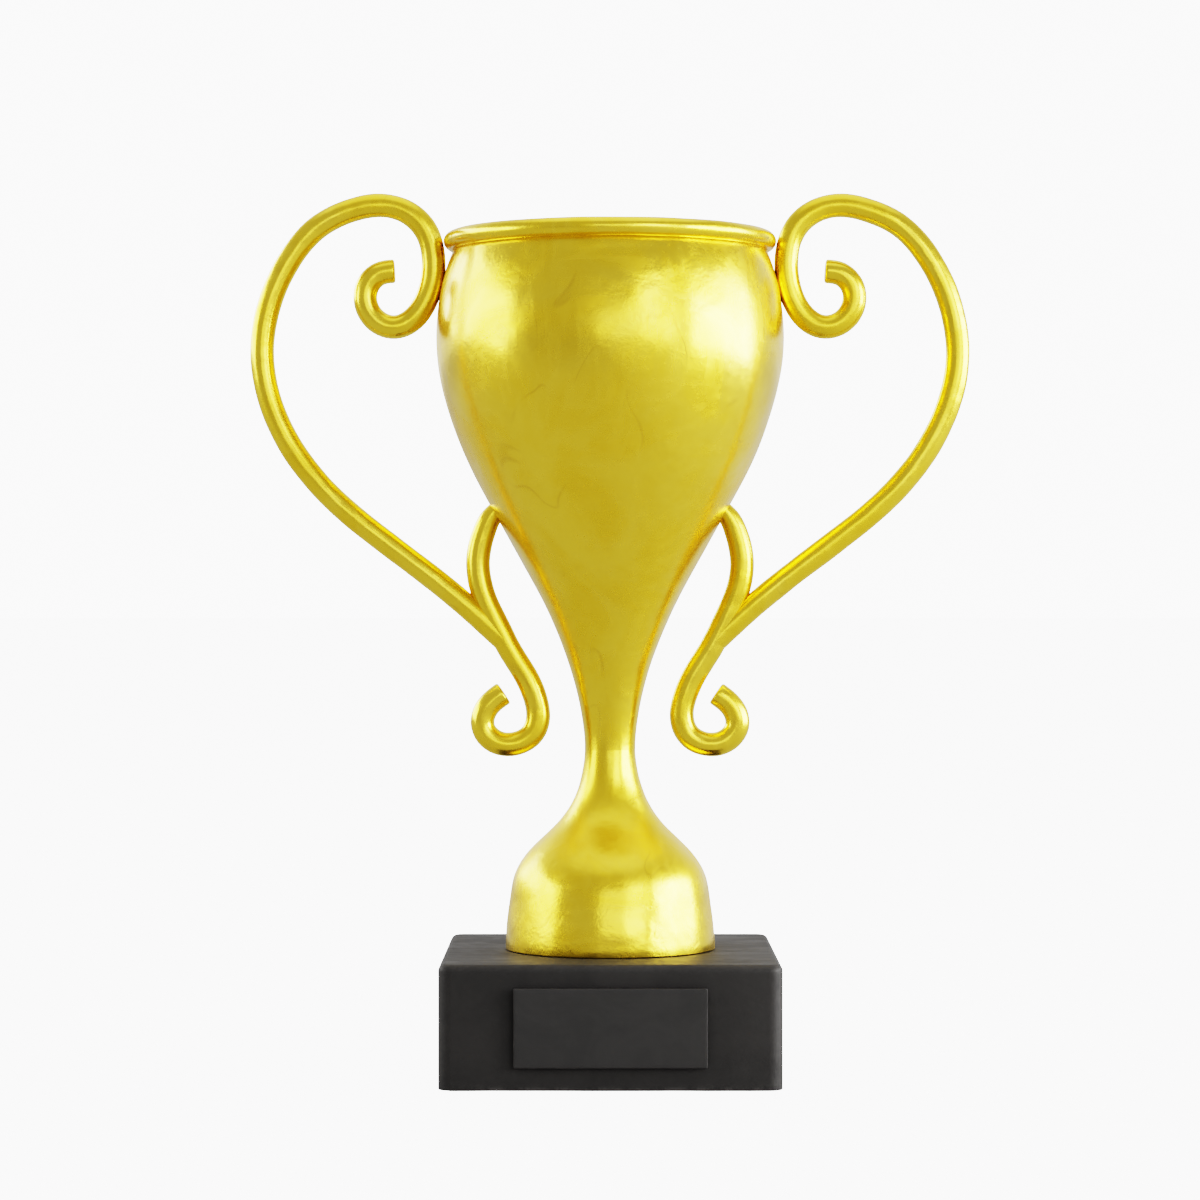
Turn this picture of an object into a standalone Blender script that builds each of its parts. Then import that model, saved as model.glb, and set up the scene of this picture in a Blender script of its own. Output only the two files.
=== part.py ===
"""Two-handled cup trophy on a square black plinth.

A spun bowl and a spun foot are clamped to the plinth by one tie rod. Each handle is
two bent rods, a large scroll coped and brazed onto a smaller S-shaped branch, and each
is held to the bowl by machine screws driven from inside the bowl.

Frame: metres, +Z up, origin under the centre of the felt, nameplate towards -Y,
handles along +X and -X. Outlines are in millimetres, as (radius, height) for turned
pieces and (distance from the axis, height) for the handles' centrelines.
"""

from math import asin, cos, pi, radians, sin, sqrt, tau

import bmesh
import bpy
from mathutils import Matrix, Vector

MM = 0.001
GAP = 0.3                       # between pieces that touch

# Plinth
PLINTH_SIDE = 110.0
PLINTH_BOTTOM = 0.5             # the felt stands this much proud
PLINTH_TOP = 40.5
PLINTH_CORNER_RADIUS = 4.5
PLINTH_TOP_BEVEL = 2.2
FELT_SIDE = 104.0
FELT_THICKNESS = 1.2
FELT_RECESS_DEPTH = 1.0
NUT_RECESS_RADIUS = 14.0
NUT_RECESS_DEPTH = 18.0

# Nameplate
PLATE_WIDTH = 61.8
PLATE_HEIGHT = 25.4
PLATE_CENTRE_HEIGHT = 20.6
PLATE_THICKNESS = 1.1
TAPE_THICKNESS = 0.8
TAPE_MARGIN = 1.5

# Bowl, rim and foot
WALL = 1.2
BOWL_OUTLINE = [
    (8.4, 107.0), (8.8, 114.0), (10.9, 125.5), (16.6, 143.4), (26.1, 163.2), (37.4, 183.5),
    (47.7, 203.2), (55.0, 223.4), (57.9, 240.5), (57.0, 256.0), (54.3, 267.5), (51.6, 274.6),
]
FOOT_OUTLINE = [
    (34.9, 43.0), (34.5, 48.5), (33.4, 56.5), (31.7, 65.5), (26.5, 73.5), (16.9, 83.2),
    (11.4, 92.3), (9.3, 99.8), (8.4, 106.7),
]
FOOT_EDGE_RADIUS = 1.4          # turned-in bottom edge
FOOT_FLANGE_RADIUS = 31.0       # inner edge of the foot's flange
RIM_RING_RADIUS = 52.4
RIM_TUBE_RADIUS = 3.0
RIM_HEIGHT = 276.0

# Handles
ROD_RADIUS = 3.8
SCROLL_ROUTE = [
    (71.7, 266.3), (77.0, 265.3), (80.9, 261.0), (81.3, 255.3), (77.6, 249.6), (71.3, 247.7),
    (65.2, 250.8), (61.2, 256.8), (59.1, 264.0), (58.9, 271.0), (60.9, 279.0), (66.4, 285.2),
    (75.7, 288.2), (86.0, 286.6), (97.0, 281.2), (106.6, 270.2), (113.2, 256.0),
    (115.9, 240.0), (113.6, 224.0), (106.2, 207.6), (94.5, 192.7), (78.5, 178.8),
    (57.9, 163.1), (45.0, 152.3), (36.4, 144.4),
]
BRANCH_ROUTE = [
    (37.0, 194.0), (40.2, 186.7), (42.4, 178.5), (43.9, 171.0), (43.5, 163.5), (41.5, 156.7),
    (38.0, 149.2), (33.0, 139.5), (28.4, 132.1), (25.0, 124.4), (23.9, 118.0), (26.3, 111.6),
    (32.0, 108.7), (38.2, 109.5), (42.3, 114.3), (41.4, 120.0), (35.3, 125.7),
]
ROD_TIP_BEVEL = 0.5

# Tie rod and what it clamps, bottom to top
TIE_ROD_RADIUS = 3.0
TIE_ROD_BOTTOM = 6.0
TIE_ROD_HOLE = 3.4
HEX_FLATS = 10.0
HEX_NUT_HEIGHT = 5.0
FENDER_WASHER_RADIUS = 12.0
FENDER_WASHER_THICKNESS = 1.6
SPRING_WASHER_RADIUS = 5.6
FOOT_DISC_RADIUS = 30.4
FOOT_DISC_THICKNESS = 6.0
SPACER_RADIUS = 5.5
NECK_SLEEVE_RADIUS = 6.9
NECK_SLEEVE_BOTTOM = 97.0
NECK_SLEEVE_TOP = 117.0
CONE_SEAT_TOP = 128.0
BOWL_WASHER_RADIUS = 6.5
CAP_NUT_DOME_RADIUS = 4.8

# Handle screws, M3 with pan heads
SCREW_RADIUS = 1.5
SCREW_HOLE = 1.7
SCREW_GRIP = 4.4                # length inside the rod
SCREW_HEAD_RADIUS = 2.8
SCREW_HEAD_HEIGHT = 2.0
SCREW_WASHER_RADIUS = 3.5
SCREW_WASHER_THICKNESS = 0.5
WASHER_SEAT = 0.45              # clears the bowl's curve under the flat washer
UPPER_SCREW_HEIGHT = 260.6
LOWER_SCREW_HEIGHT = 186.1

# Smoothness
BOWL_SIDES = 40
SMALL_SIDES = 16
ROD_SIDES = 12
OUTLINE_STEPS = 2
ROUTE_STEPS = 2


# ---------------------------------------------------------------- helpers

def clear_scene():
    for item in list(bpy.data.objects):
        bpy.data.objects.remove(item, do_unlink=True)


def material(name, colour, metallic, roughness):
    """A Principled material in one colour."""
    shade = bpy.data.materials.new(name)
    shade.use_nodes = True
    surface = shade.node_tree.nodes["Principled BSDF"]
    surface.inputs["Base Color"].default_value = (*colour, 1.0)
    surface.inputs["Metallic"].default_value = metallic
    surface.inputs["Roughness"].default_value = roughness
    shade.diffuse_color = (*colour, 1.0)
    return shade


def piece(name, bm, shade, smooth_angle=30.0):
    """Turns a bmesh in millimetres into a named object in metres."""
    bmesh.ops.scale(bm, vec=(MM, MM, MM), verts=bm.verts)
    bmesh.ops.recalc_face_normals(bm, faces=bm.faces)
    mesh = bpy.data.meshes.new(name)
    bm.to_mesh(mesh)
    bm.free()
    mesh.shade_smooth()
    mesh.set_sharp_from_angle(angle=radians(smooth_angle))
    made = bpy.data.objects.new(name, mesh)
    bpy.context.collection.objects.link(made)
    if shade:
        mesh.materials.append(shade)
    return made


def cutter(name, bm):
    """A shape that only cuts others, hidden from the render."""
    made = piece(name, bm, None)
    made.hide_render = True
    made.display_type = "WIRE"
    return made


def combine(target, tool, operation="DIFFERENCE"):
    change = target.modifiers.new(f"{operation.lower()} {tool.name}", "BOOLEAN")
    change.operation = operation
    change.solver = "EXACT"
    change.object = tool


def smooth_route(knots, steps):
    """Points on a centripetal Catmull-Rom curve through 2-D knots."""
    points = [Vector(knot) for knot in knots]
    points.insert(0, 2 * points[0] - points[1])
    points.append(2 * points[-1] - points[-2])
    route = []
    for i in range(1, len(points) - 2):
        before, start, end, after = points[i - 1:i + 3]
        t1 = sqrt((start - before).length)
        t2 = t1 + sqrt((end - start).length)
        t3 = t2 + sqrt((after - end).length)
        for step in range(steps):
            t = t1 + (t2 - t1) * step / steps
            near = before.lerp(start, t / t1)
            middle = start.lerp(end, (t - t1) / (t2 - t1))
            far = end.lerp(after, (t - t2) / (t3 - t2))
            near = near.lerp(middle, t / t2)
            far = middle.lerp(far, (t - t1) / (t3 - t1))
            route.append(near.lerp(far, (t - t1) / (t2 - t1)))
    route.append(points[-2])
    return route


def radius_at(outline, height):
    """Radius of an outline at a height, and its slope in radius per height."""
    for low, high in zip(outline, outline[1:]):
        if low.y <= height <= high.y:
            slope = (high.x - low.x) / (high.y - low.y)
            return low.x + slope * (height - low.y), slope
    raise ValueError("height outside the outline")


def offset_outline(outline, distance):
    """The same outline moved sideways, towards the axis for a positive distance."""
    moved = []
    for i, point in enumerate(outline):
        along = outline[min(i + 1, len(outline) - 1)] - outline[max(i - 1, 0)]
        normal = Vector((-along.y, along.x)).normalized()
        moved.append(point + normal * distance)
    return moved


def turned(outline, sides):
    """Revolves a closed (radius, height) outline about Z."""
    bm = bmesh.new()
    corners = [bm.verts.new((radius, 0.0, height)) for radius, height in outline]
    edges = [bm.edges.new((a, b)) for a, b in zip(corners, corners[1:] + corners[:1])]
    bmesh.ops.spin(bm, geom=corners + edges, cent=(0, 0, 0), axis=(0, 0, 1), angle=tau,
                   steps=sides, use_merge=True)
    bmesh.ops.remove_doubles(bm, verts=bm.verts, dist=1e-4)
    return bm


def washer_outline(inner, outer, bottom, top):
    return [(outer, bottom), (outer, top), (inner, top), (inner, bottom)]


def box(size, centre):
    bm = bmesh.new()
    bmesh.ops.create_cube(bm, size=1.0)
    bmesh.ops.scale(bm, vec=size, verts=bm.verts)
    bmesh.ops.translate(bm, vec=centre, verts=bm.verts)
    return bm


def drum(radius, bottom, top, sides=SMALL_SIDES):
    bm = bmesh.new()
    bmesh.ops.create_cone(bm, cap_ends=True, segments=sides, radius1=radius, radius2=radius,
                          depth=top - bottom)
    bmesh.ops.translate(bm, vec=(0, 0, (bottom + top) / 2), verts=bm.verts)
    return bm


def turn_to(bm, origin, direction):
    """Places a bmesh made along local Z with its origin and Z axis where given."""
    aim = Vector(direction).to_track_quat("Z", "Y").to_matrix().to_4x4()
    bmesh.ops.transform(bm, matrix=Matrix.Translation(origin) @ aim, verts=bm.verts)
    return bm


def rod_along(route, radius, side, tip_bevel=0.0, twist=0.0):
    """Sweeps a round rod along a centreline in the XZ plane, its first end being the tip."""
    bm = bmesh.new()
    first = route[0]
    toward = (route[1] - route[0]).normalized()
    stations = [(point, radius) for point in route]
    if tip_bevel:
        stations[0] = (first + toward * tip_bevel, radius)
        stations.insert(0, (first, radius - tip_bevel))
    rings = []
    for i, (point, size) in enumerate(stations):
        before = stations[max(i - 1, 0)][0]
        after = stations[min(i + 1, len(stations) - 1)][0]
        along = (after - before).normalized()
        ring = []
        for corner in range(ROD_SIDES):
            angle = tau * (corner + twist) / ROD_SIDES
            spread = size * cos(angle)
            x = point.x + along.y * spread
            z = point.y - along.x * spread
            ring.append(bm.verts.new((side * x, size * sin(angle), z)))
        rings.append(ring)
    for ring, following in zip(rings, rings[1:]):
        for i in range(ROD_SIDES):
            j = (i + 1) % ROD_SIDES
            bm.faces.new((ring[i], ring[j], following[j], following[i]))
    bm.faces.new(rings[0])
    bm.faces.new(rings[-1])
    return bm


# ---------------------------------------------------------------- plinth

def build_plinth(lacquer, felt_green):
    side = PLINTH_SIDE
    height = PLINTH_TOP - PLINTH_BOTTOM
    bm = box((side, side, height), (0, 0, PLINTH_BOTTOM + height / 2))
    upright = [edge for edge in bm.edges if abs(edge.verts[0].co.z - edge.verts[1].co.z) > 1]
    bmesh.ops.bevel(bm, geom=upright, offset=PLINTH_CORNER_RADIUS, segments=5, profile=0.5,
                    affect="EDGES")
    top = [edge for edge in bm.edges if all(v.co.z > PLINTH_TOP - 0.01 for v in edge.verts)]
    bmesh.ops.bevel(bm, geom=top, offset=PLINTH_TOP_BEVEL, segments=3, profile=0.5,
                    affect="EDGES")
    block = piece("plinth_block", bm, lacquer)
    below = PLINTH_BOTTOM - 5.0
    recess_size = FELT_SIDE + 1.0
    recess_height = FELT_RECESS_DEPTH + 5.0
    recess = box((recess_size, recess_size, recess_height), (0, 0, below + recess_height / 2))
    combine(block, cutter("felt_recess", recess))
    nut_recess = drum(NUT_RECESS_RADIUS, below, PLINTH_BOTTOM + NUT_RECESS_DEPTH)
    combine(block, cutter("nut_recess", nut_recess))
    rod_hole = drum(TIE_ROD_HOLE, below, PLINTH_TOP + 5.0)
    combine(block, cutter("plinth_rod_hole", rod_hole))

    pad = piece("felt_pad", box((FELT_SIDE, FELT_SIDE, FELT_THICKNESS),
                                (0, 0, FELT_THICKNESS / 2)), felt_green)
    combine(pad, cutter("felt_window", drum(NUT_RECESS_RADIUS + 1.0, -2.0, 4.0)))


def build_nameplate(tape_grey, plate_black):
    tape_y = -PLINTH_SIDE / 2 - GAP - TAPE_THICKNESS / 2
    tape_size = (PLATE_WIDTH - 2 * TAPE_MARGIN, TAPE_THICKNESS, PLATE_HEIGHT - 2 * TAPE_MARGIN)
    piece("nameplate_tape", box(tape_size, (0, tape_y, PLATE_CENTRE_HEIGHT)), tape_grey)
    plate_y = tape_y - TAPE_THICKNESS / 2 - GAP - PLATE_THICKNESS / 2
    bm = box((PLATE_WIDTH, PLATE_THICKNESS, PLATE_HEIGHT), (0, plate_y, PLATE_CENTRE_HEIGHT))
    front = [edge for edge in bm.edges if all(v.co.y < plate_y for v in edge.verts)]
    bmesh.ops.bevel(bm, geom=front, offset=0.25, segments=1, affect="EDGES")
    piece("nameplate", bm, plate_black)


# ---------------------------------------------------------------- bowl, rim and foot

def bowl_wall():
    return smooth_route(BOWL_OUTLINE, OUTLINE_STEPS)


def build_bowl(gold):
    outer = bowl_wall()
    inner = offset_outline(outer, WALL)
    inner[0].y = outer[0].y
    inner[-1].y = outer[-1].y
    return piece("bowl_shell", turned(outer + inner[::-1], BOWL_SIDES), gold)


def bowl_envelope():
    """The bowl's outside grown by the touching gap and filled to the axis, for coping."""
    outer = offset_outline(bowl_wall(), -GAP)
    solid = [(0.0, outer[0].y)] + [tuple(point) for point in outer] + [(0.0, outer[-1].y)]
    return cutter("bowl_envelope", turned(solid, BOWL_SIDES))


def build_rim(gold):
    """A round bead with a groove below that takes the bowl's lip."""
    lip_outer, lip_top = BOWL_OUTLINE[-1]
    mouth_outer = radius_at(bowl_wall(), RIM_HEIGHT - RIM_TUBE_RADIUS)[0] + 1.5 * GAP
    mouth_inner = lip_outer - WALL - 2 * GAP
    groove_top = lip_top + GAP
    beside_mouth = []
    for radius in (mouth_outer, mouth_inner):
        sideways = radius - RIM_RING_RADIUS
        beside_mouth.append(-0.5 * pi + asin(sideways / RIM_TUBE_RADIUS))
    start, end = beside_mouth[0], beside_mouth[1] + tau
    outline = []
    for step in range(12):
        angle = start + (end - start) * step / 11
        outline.append((RIM_RING_RADIUS + RIM_TUBE_RADIUS * cos(angle),
                        RIM_HEIGHT + RIM_TUBE_RADIUS * sin(angle)))
    outline.append((mouth_inner, groove_top))
    outline.append((lip_outer + GAP, groove_top))
    piece("rim_bead", turned(outline, BOWL_SIDES), gold)


def build_foot(gold):
    outer = smooth_route(FOOT_OUTLINE, OUTLINE_STEPS)
    bottom = PLINTH_TOP + GAP
    edge_x = outer[0].x - FOOT_EDGE_RADIUS
    edge_z = bottom + FOOT_EDGE_RADIUS
    edge = []
    for step in range(4):
        angle = -0.5 * pi + 0.5 * pi * step / 3
        edge.append(Vector((edge_x + FOOT_EDGE_RADIUS * cos(angle),
                            edge_z + FOOT_EDGE_RADIUS * sin(angle))))
    flange = Vector((FOOT_FLANGE_RADIUS, bottom))
    inner = offset_outline(outer, WALL)
    inner[-1].y = outer[-1].y
    inside = [Vector((FOOT_FLANGE_RADIUS, bottom + WALL)),
              Vector((inner[0].x - 0.6, bottom + WALL)),
              Vector((inner[0].x, bottom + WALL + 0.6))]
    outline = [flange] + edge + outer + inner[::-1] + inside[::-1]
    piece("foot_bell", turned(outline, BOWL_SIDES), gold)


# ---------------------------------------------------------------- tie rod stack

def hex_nut(bottom, height):
    """A hexagonal nut body with its corners eased."""
    corner_radius = HEX_FLATS / sqrt(3)
    bm = drum(corner_radius, bottom, bottom + height, sides=6)
    ends = [edge for edge in bm.edges
            if abs(edge.verts[0].co.z - edge.verts[1].co.z) < 0.01]
    bmesh.ops.bevel(bm, geom=ends, offset=0.4, segments=1, affect="EDGES")
    return bm


def build_spring_washer(steel, bottom, top):
    split_ring = turned(washer_outline(TIE_ROD_HOLE, SPRING_WASHER_RADIUS, bottom, top),
                        SMALL_SIDES)
    washer = piece("spring_washer", split_ring, steel)
    slot = box((10.0, 0.8, 4.0), (SPRING_WASHER_RADIUS, 0, (bottom + top) / 2))
    combine(washer, cutter("spring_washer_slot", slot))


def build_cap_nut(brass, bottom):
    """A domed nut with a blind hole, closing the top of the tie rod."""
    nut = piece("bowl_cap_nut", hex_nut(bottom, HEX_NUT_HEIGHT), brass)
    shoulder = bottom + HEX_NUT_HEIGHT - 0.5
    outline = [(0.0, shoulder - 1.0), (CAP_NUT_DOME_RADIUS, shoulder - 1.0)]
    for step in range(7):
        angle = 0.5 * pi * step / 6
        outline.append((CAP_NUT_DOME_RADIUS * cos(angle),
                        shoulder + 1.5 + 1.15 * CAP_NUT_DOME_RADIUS * sin(angle)))
    outline[-1] = (0.0, outline[-1][1])
    combine(nut, cutter("cap_nut_dome", turned(outline, SMALL_SIDES)), "UNION")
    hole = drum(TIE_ROD_RADIUS + 0.2, bottom - 2.0, bottom + 8.5)
    combine(nut, cutter("cap_nut_hole", hole))
    return bottom + 8.0


def build_tie_rod_stack(steel, brass, fibreboard):
    ceiling = PLINTH_BOTTOM + NUT_RECESS_DEPTH
    washer_top = ceiling - GAP
    washer_bottom = washer_top - FENDER_WASHER_THICKNESS
    plain = washer_outline(TIE_ROD_HOLE, FENDER_WASHER_RADIUS, washer_bottom, washer_top)
    piece("plinth_washer", turned(plain, SMALL_SIDES), steel)
    spring_top = washer_bottom - GAP
    spring_bottom = spring_top - FENDER_WASHER_THICKNESS
    build_spring_washer(steel, spring_bottom, spring_top)
    nut_bottom = spring_bottom - GAP - HEX_NUT_HEIGHT
    nut = piece("plinth_nut", hex_nut(nut_bottom, HEX_NUT_HEIGHT), steel)
    nut_hole = drum(TIE_ROD_RADIUS + 0.2, nut_bottom - 2.0, spring_bottom)
    combine(nut, cutter("plinth_nut_hole", nut_hole))

    disc_bottom = PLINTH_TOP + GAP
    disc_top = disc_bottom + FOOT_DISC_THICKNESS
    disc = washer_outline(TIE_ROD_HOLE, FOOT_DISC_RADIUS, disc_bottom, disc_top)
    piece("foot_disc", turned(disc, BOWL_SIDES), fibreboard)
    spacer = washer_outline(TIE_ROD_HOLE, SPACER_RADIUS, disc_top + GAP, NECK_SLEEVE_BOTTOM - GAP)
    piece("spacer_tube", turned(spacer, SMALL_SIDES), steel)
    sleeve = washer_outline(TIE_ROD_HOLE, NECK_SLEEVE_RADIUS, NECK_SLEEVE_BOTTOM, NECK_SLEEVE_TOP)
    piece("neck_sleeve", turned(sleeve, SMALL_SIDES), brass)

    wall = offset_outline(bowl_wall(), WALL + GAP)
    seat_bottom = NECK_SLEEVE_TOP + GAP
    seat = [(radius_at(wall, seat_bottom)[0], seat_bottom),
            (radius_at(wall, CONE_SEAT_TOP)[0], CONE_SEAT_TOP),
            (TIE_ROD_HOLE, CONE_SEAT_TOP), (TIE_ROD_HOLE, seat_bottom)]
    piece("bowl_cone_seat", turned(seat, BOWL_SIDES), brass)
    washer_bottom = CONE_SEAT_TOP + GAP
    washer_top = washer_bottom + FENDER_WASHER_THICKNESS
    flat = washer_outline(TIE_ROD_HOLE, BOWL_WASHER_RADIUS, washer_bottom, washer_top)
    piece("bowl_washer", turned(flat, SMALL_SIDES), steel)
    rod_top = build_cap_nut(brass, washer_top + GAP)
    piece("tie_rod", drum(TIE_ROD_RADIUS, TIE_ROD_BOTTOM, rod_top), steel)


# ---------------------------------------------------------------- handles

def wall_point(side, height):
    """Point on the bowl's outside and the outward direction there, on one side."""
    radius, slope = radius_at(bowl_wall(), height)
    direction = Vector((side, 0.0, -slope)).normalized()
    return Vector((side * radius, 0.0, height)), direction


def build_handle_screw(name, place, bowl, rod, steel, brass, side, height):
    """A pan-head screw and its washer inside the bowl, and the holes that they need."""
    point, outward = wall_point(side, height)
    washer_top = -WALL - WASHER_SEAT
    washer_bottom = washer_top - SCREW_WASHER_THICKNESS
    ring = washer_outline(SCREW_HOLE, SCREW_WASHER_RADIUS, washer_bottom, washer_top)
    piece(f"{name}_washer_{place}", turn_to(turned(ring, SMALL_SIDES), point, outward), brass)

    head_top = washer_bottom - GAP
    head_bottom = head_top - SCREW_HEAD_HEIGHT
    tip = GAP + SCREW_GRIP
    outline = [(0.0, tip), (SCREW_RADIUS, tip), (SCREW_RADIUS, head_top),
               (SCREW_HEAD_RADIUS, head_top), (SCREW_HEAD_RADIUS, head_bottom + 0.8),
               (SCREW_HEAD_RADIUS - 0.8, head_bottom), (0.0, head_bottom)]
    screw = piece(f"{name}_screw_{place}",
                  turn_to(turned(outline, SMALL_SIDES), point, outward), steel)
    slot = turn_to(box((0.8, 8.0, 2.0), (0, 0, head_bottom)), point, outward)
    combine(screw, cutter(f"{name}_slot_{place}", slot))

    hole = turn_to(drum(SCREW_HOLE, head_bottom, tip + 0.4), point, outward)
    drill = cutter(f"{name}_hole_{place}", hole)
    combine(bowl, drill)
    combine(rod, drill)


def build_handle(place, side, bowl, envelope, gold, steel, brass):
    branch_route = smooth_route(BRANCH_ROUTE, ROUTE_STEPS)
    branch_mesh = rod_along(branch_route[::-1], ROD_RADIUS, side, ROD_TIP_BEVEL)
    branch = piece(f"handle_branch_{place}", branch_mesh, gold)
    combine(branch, envelope)

    scroll_route = smooth_route(SCROLL_ROUTE, ROUTE_STEPS)
    scroll_mesh = rod_along(scroll_route, ROD_RADIUS, side, ROD_TIP_BEVEL)
    scroll = piece(f"handle_scroll_{place}", scroll_mesh, gold)
    combine(scroll, envelope)
    cope = rod_along(branch_route, ROD_RADIUS + GAP, side, twist=0.5)
    combine(scroll, cutter(f"branch_envelope_{place}", cope))

    build_handle_screw("upper", place, bowl, scroll, steel, brass, side, UPPER_SCREW_HEIGHT)
    build_handle_screw("lower", place, bowl, branch, steel, brass, side, LOWER_SCREW_HEIGHT)


# ---------------------------------------------------------------- assembly

def build_trophy():
    clear_scene()
    gold = material("polished gold plate", (0.80, 0.62, 0.10), 1.0, 0.28)
    brass = material("plain brass", (0.72, 0.55, 0.20), 1.0, 0.35)
    steel = material("zinc plated steel", (0.60, 0.61, 0.62), 1.0, 0.35)
    lacquer = material("black lacquer", (0.035, 0.034, 0.033), 0.0, 0.35)
    plate_black = material("black anodised plate", (0.030, 0.029, 0.028), 0.0, 0.45)
    tape_grey = material("foam tape", (0.08, 0.08, 0.08), 0.0, 0.9)
    felt_green = material("dark felt", (0.02, 0.05, 0.03), 0.0, 1.0)
    fibreboard = material("fibreboard", (0.30, 0.20, 0.11), 0.0, 0.9)

    build_plinth(lacquer, felt_green)
    build_nameplate(tape_grey, plate_black)
    bowl = build_bowl(gold)
    build_rim(gold)
    build_foot(gold)
    build_tie_rod_stack(steel, brass, fibreboard)
    envelope = bowl_envelope()
    for place, side in (("left", -1), ("right", 1)):
        build_handle(place, side, bowl, envelope, gold, steel, brass)


build_trophy()
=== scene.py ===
"""Looks of the two-handled cup trophy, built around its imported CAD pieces.

Sizes are in millimetres until a piece is finished, and the row frame is the CAD's: +Z up,
nameplate towards -Y, handles along +X and -X. Outlines and rod centrelines repeat the
CAD's, as (distance from the axis, height).
"""

from math import cos, pi, radians, sin, tan, tau

import bmesh
import bpy
import numpy as np
from mathutils import Matrix, Vector, noise


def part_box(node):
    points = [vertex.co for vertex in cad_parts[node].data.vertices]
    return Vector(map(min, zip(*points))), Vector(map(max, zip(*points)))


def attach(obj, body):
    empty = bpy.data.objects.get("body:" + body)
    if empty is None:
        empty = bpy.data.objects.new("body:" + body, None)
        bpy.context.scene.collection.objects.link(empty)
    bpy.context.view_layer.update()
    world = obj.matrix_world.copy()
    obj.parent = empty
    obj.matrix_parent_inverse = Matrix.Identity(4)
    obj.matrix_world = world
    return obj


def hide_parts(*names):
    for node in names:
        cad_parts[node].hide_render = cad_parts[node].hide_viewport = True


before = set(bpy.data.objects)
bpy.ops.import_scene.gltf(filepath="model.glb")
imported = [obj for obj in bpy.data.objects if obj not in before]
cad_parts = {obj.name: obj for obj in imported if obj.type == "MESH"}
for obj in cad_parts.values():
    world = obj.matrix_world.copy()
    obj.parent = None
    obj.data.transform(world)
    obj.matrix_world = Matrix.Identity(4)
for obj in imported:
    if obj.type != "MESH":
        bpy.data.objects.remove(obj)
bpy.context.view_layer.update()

MM = 0.001

# Bowl and foot, one smooth outline from the foot's edge to the bowl's lip
FOOT_OUTLINE = [
    (34.9, 43.0), (34.5, 48.5), (33.4, 56.5), (31.7, 65.5), (26.5, 73.5), (16.9, 83.2),
    (11.4, 92.3), (9.3, 99.8),
]
NECK_SEAM = (8.4, 106.85)
BOWL_OUTLINE = [
    (8.8, 114.0), (10.9, 125.5), (16.6, 143.4), (26.1, 163.2), (37.4, 183.5),
    (47.7, 203.2), (55.0, 223.4), (57.9, 240.5), (57.0, 256.0), (54.3, 267.5), (51.6, 274.6),
]
WALL = 1.2
BOWL_SIDES = 192
BOWL_SPACING = 1.4              # between the rings of the bowl's skin
FOOT_SIDES = 168
FOOT_SPACING = 1.2
FOOT_EDGE = 0.4                 # rounding at the foot's bottom edge
FLANGE_RADIUS = 31.0            # how far the foot's turned-in flange reaches
FLANGE_CORNER = 0.6

# Rods
ROD_RADIUS = 4.0
ROD_SIDES = 28
ROD_SPACING = 1.1
TIP_EDGE = 0.75
TIP_FACE = ((0.25, -0.10), (0.6, -0.06))    # share of the cut face's radius, and how far it bulges
FITTED_LENGTH = 30.0            # last part of a rod, where its rings lean to fit the joint
FITTED_RINGS = 28
TRIM_REACH = 22.0               # a joint is looked for this far back from a rod's end
BRAZE_DEPTH = 0.6               # how far a rod's end goes into the bowl's wall
SCROLL_ROUTE = [
    (71.7, 266.3), (77.0, 265.3), (80.9, 261.0), (81.3, 255.3), (77.6, 249.6), (71.3, 247.7),
    (65.2, 250.8), (61.2, 256.8), (59.1, 264.0), (58.9, 271.0), (60.9, 279.0), (66.4, 285.2),
    (75.7, 288.2), (86.0, 286.6), (97.0, 281.2), (106.6, 270.2), (113.2, 256.0),
    (115.9, 240.0), (113.6, 224.0), (106.2, 207.6), (94.5, 192.7), (78.5, 178.8),
    (57.9, 163.1), (45.0, 152.3), (36.4, 144.4),
]
BRANCH_ROUTE = [
    (37.0, 194.0), (40.2, 186.7), (42.4, 178.5), (43.9, 171.0), (43.5, 163.5), (41.5, 156.7),
    (38.0, 149.2), (33.0, 139.5), (28.4, 132.1), (25.0, 124.4), (23.9, 118.0), (26.3, 111.6),
    (32.0, 108.7), (38.2, 109.5), (42.3, 114.3), (41.4, 120.0), (35.3, 125.7),
]
ROUTE_GRAIN = 0.05              # spacing of the points that a route is measured on
BRANCH_DRESSED_ABOVE = 175.0    # from here up the branch's feather edge is ground back
BRANCH_DRESSING = 0.0125        # share that it loses for each millimetre higher

# Bead around the mouth
BEAD_RING_RADIUS = 52.4
BEAD_TUBE_RADIUS = 3.0
BEAD_HEIGHT = 276.0
LIP_ROOM = 0.2                  # between the lip and its groove

# Screws that hold the handles
SCREW_RADIUS = 1.5
SCREW_GRIP = 4.7
SCREW_HEAD_RADIUS = 2.8
SCREW_HEAD_HEIGHT = 2.0
SCREW_PITCH = 0.5
SCREW_WASHER_RADIUS = 3.5
SCREW_WASHER_THICKNESS = 0.5
WASHER_SEAT = 0.45
UPPER_SCREW_HEIGHT = 260.6
LOWER_SCREW_HEIGHT = 186.1
SCREW_SLOT = (0.8, 8.0, 2.0)    # the tool that cuts it: width, length and twice the depth

# Tie rod and nuts
TIE_ROD_RADIUS = 3.0
TIE_ROD_HOLE = 3.4
TIE_ROD_PITCH = 1.0
TIE_ROD_CHAMFER = 0.6
LOWER_THREAD = 20.0
UPPER_THREAD = 14.0
THREAD_DEPTH = 0.6              # share of the pitch
THREAD_STEPS = 8                # rings for each turn
HEX_FLATS = 10.0
HEX_CHAMFER = 30.0              # degrees
NUT_HOLE = TIE_ROD_RADIUS + 0.15
NUT_SIDES = 48

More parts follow.
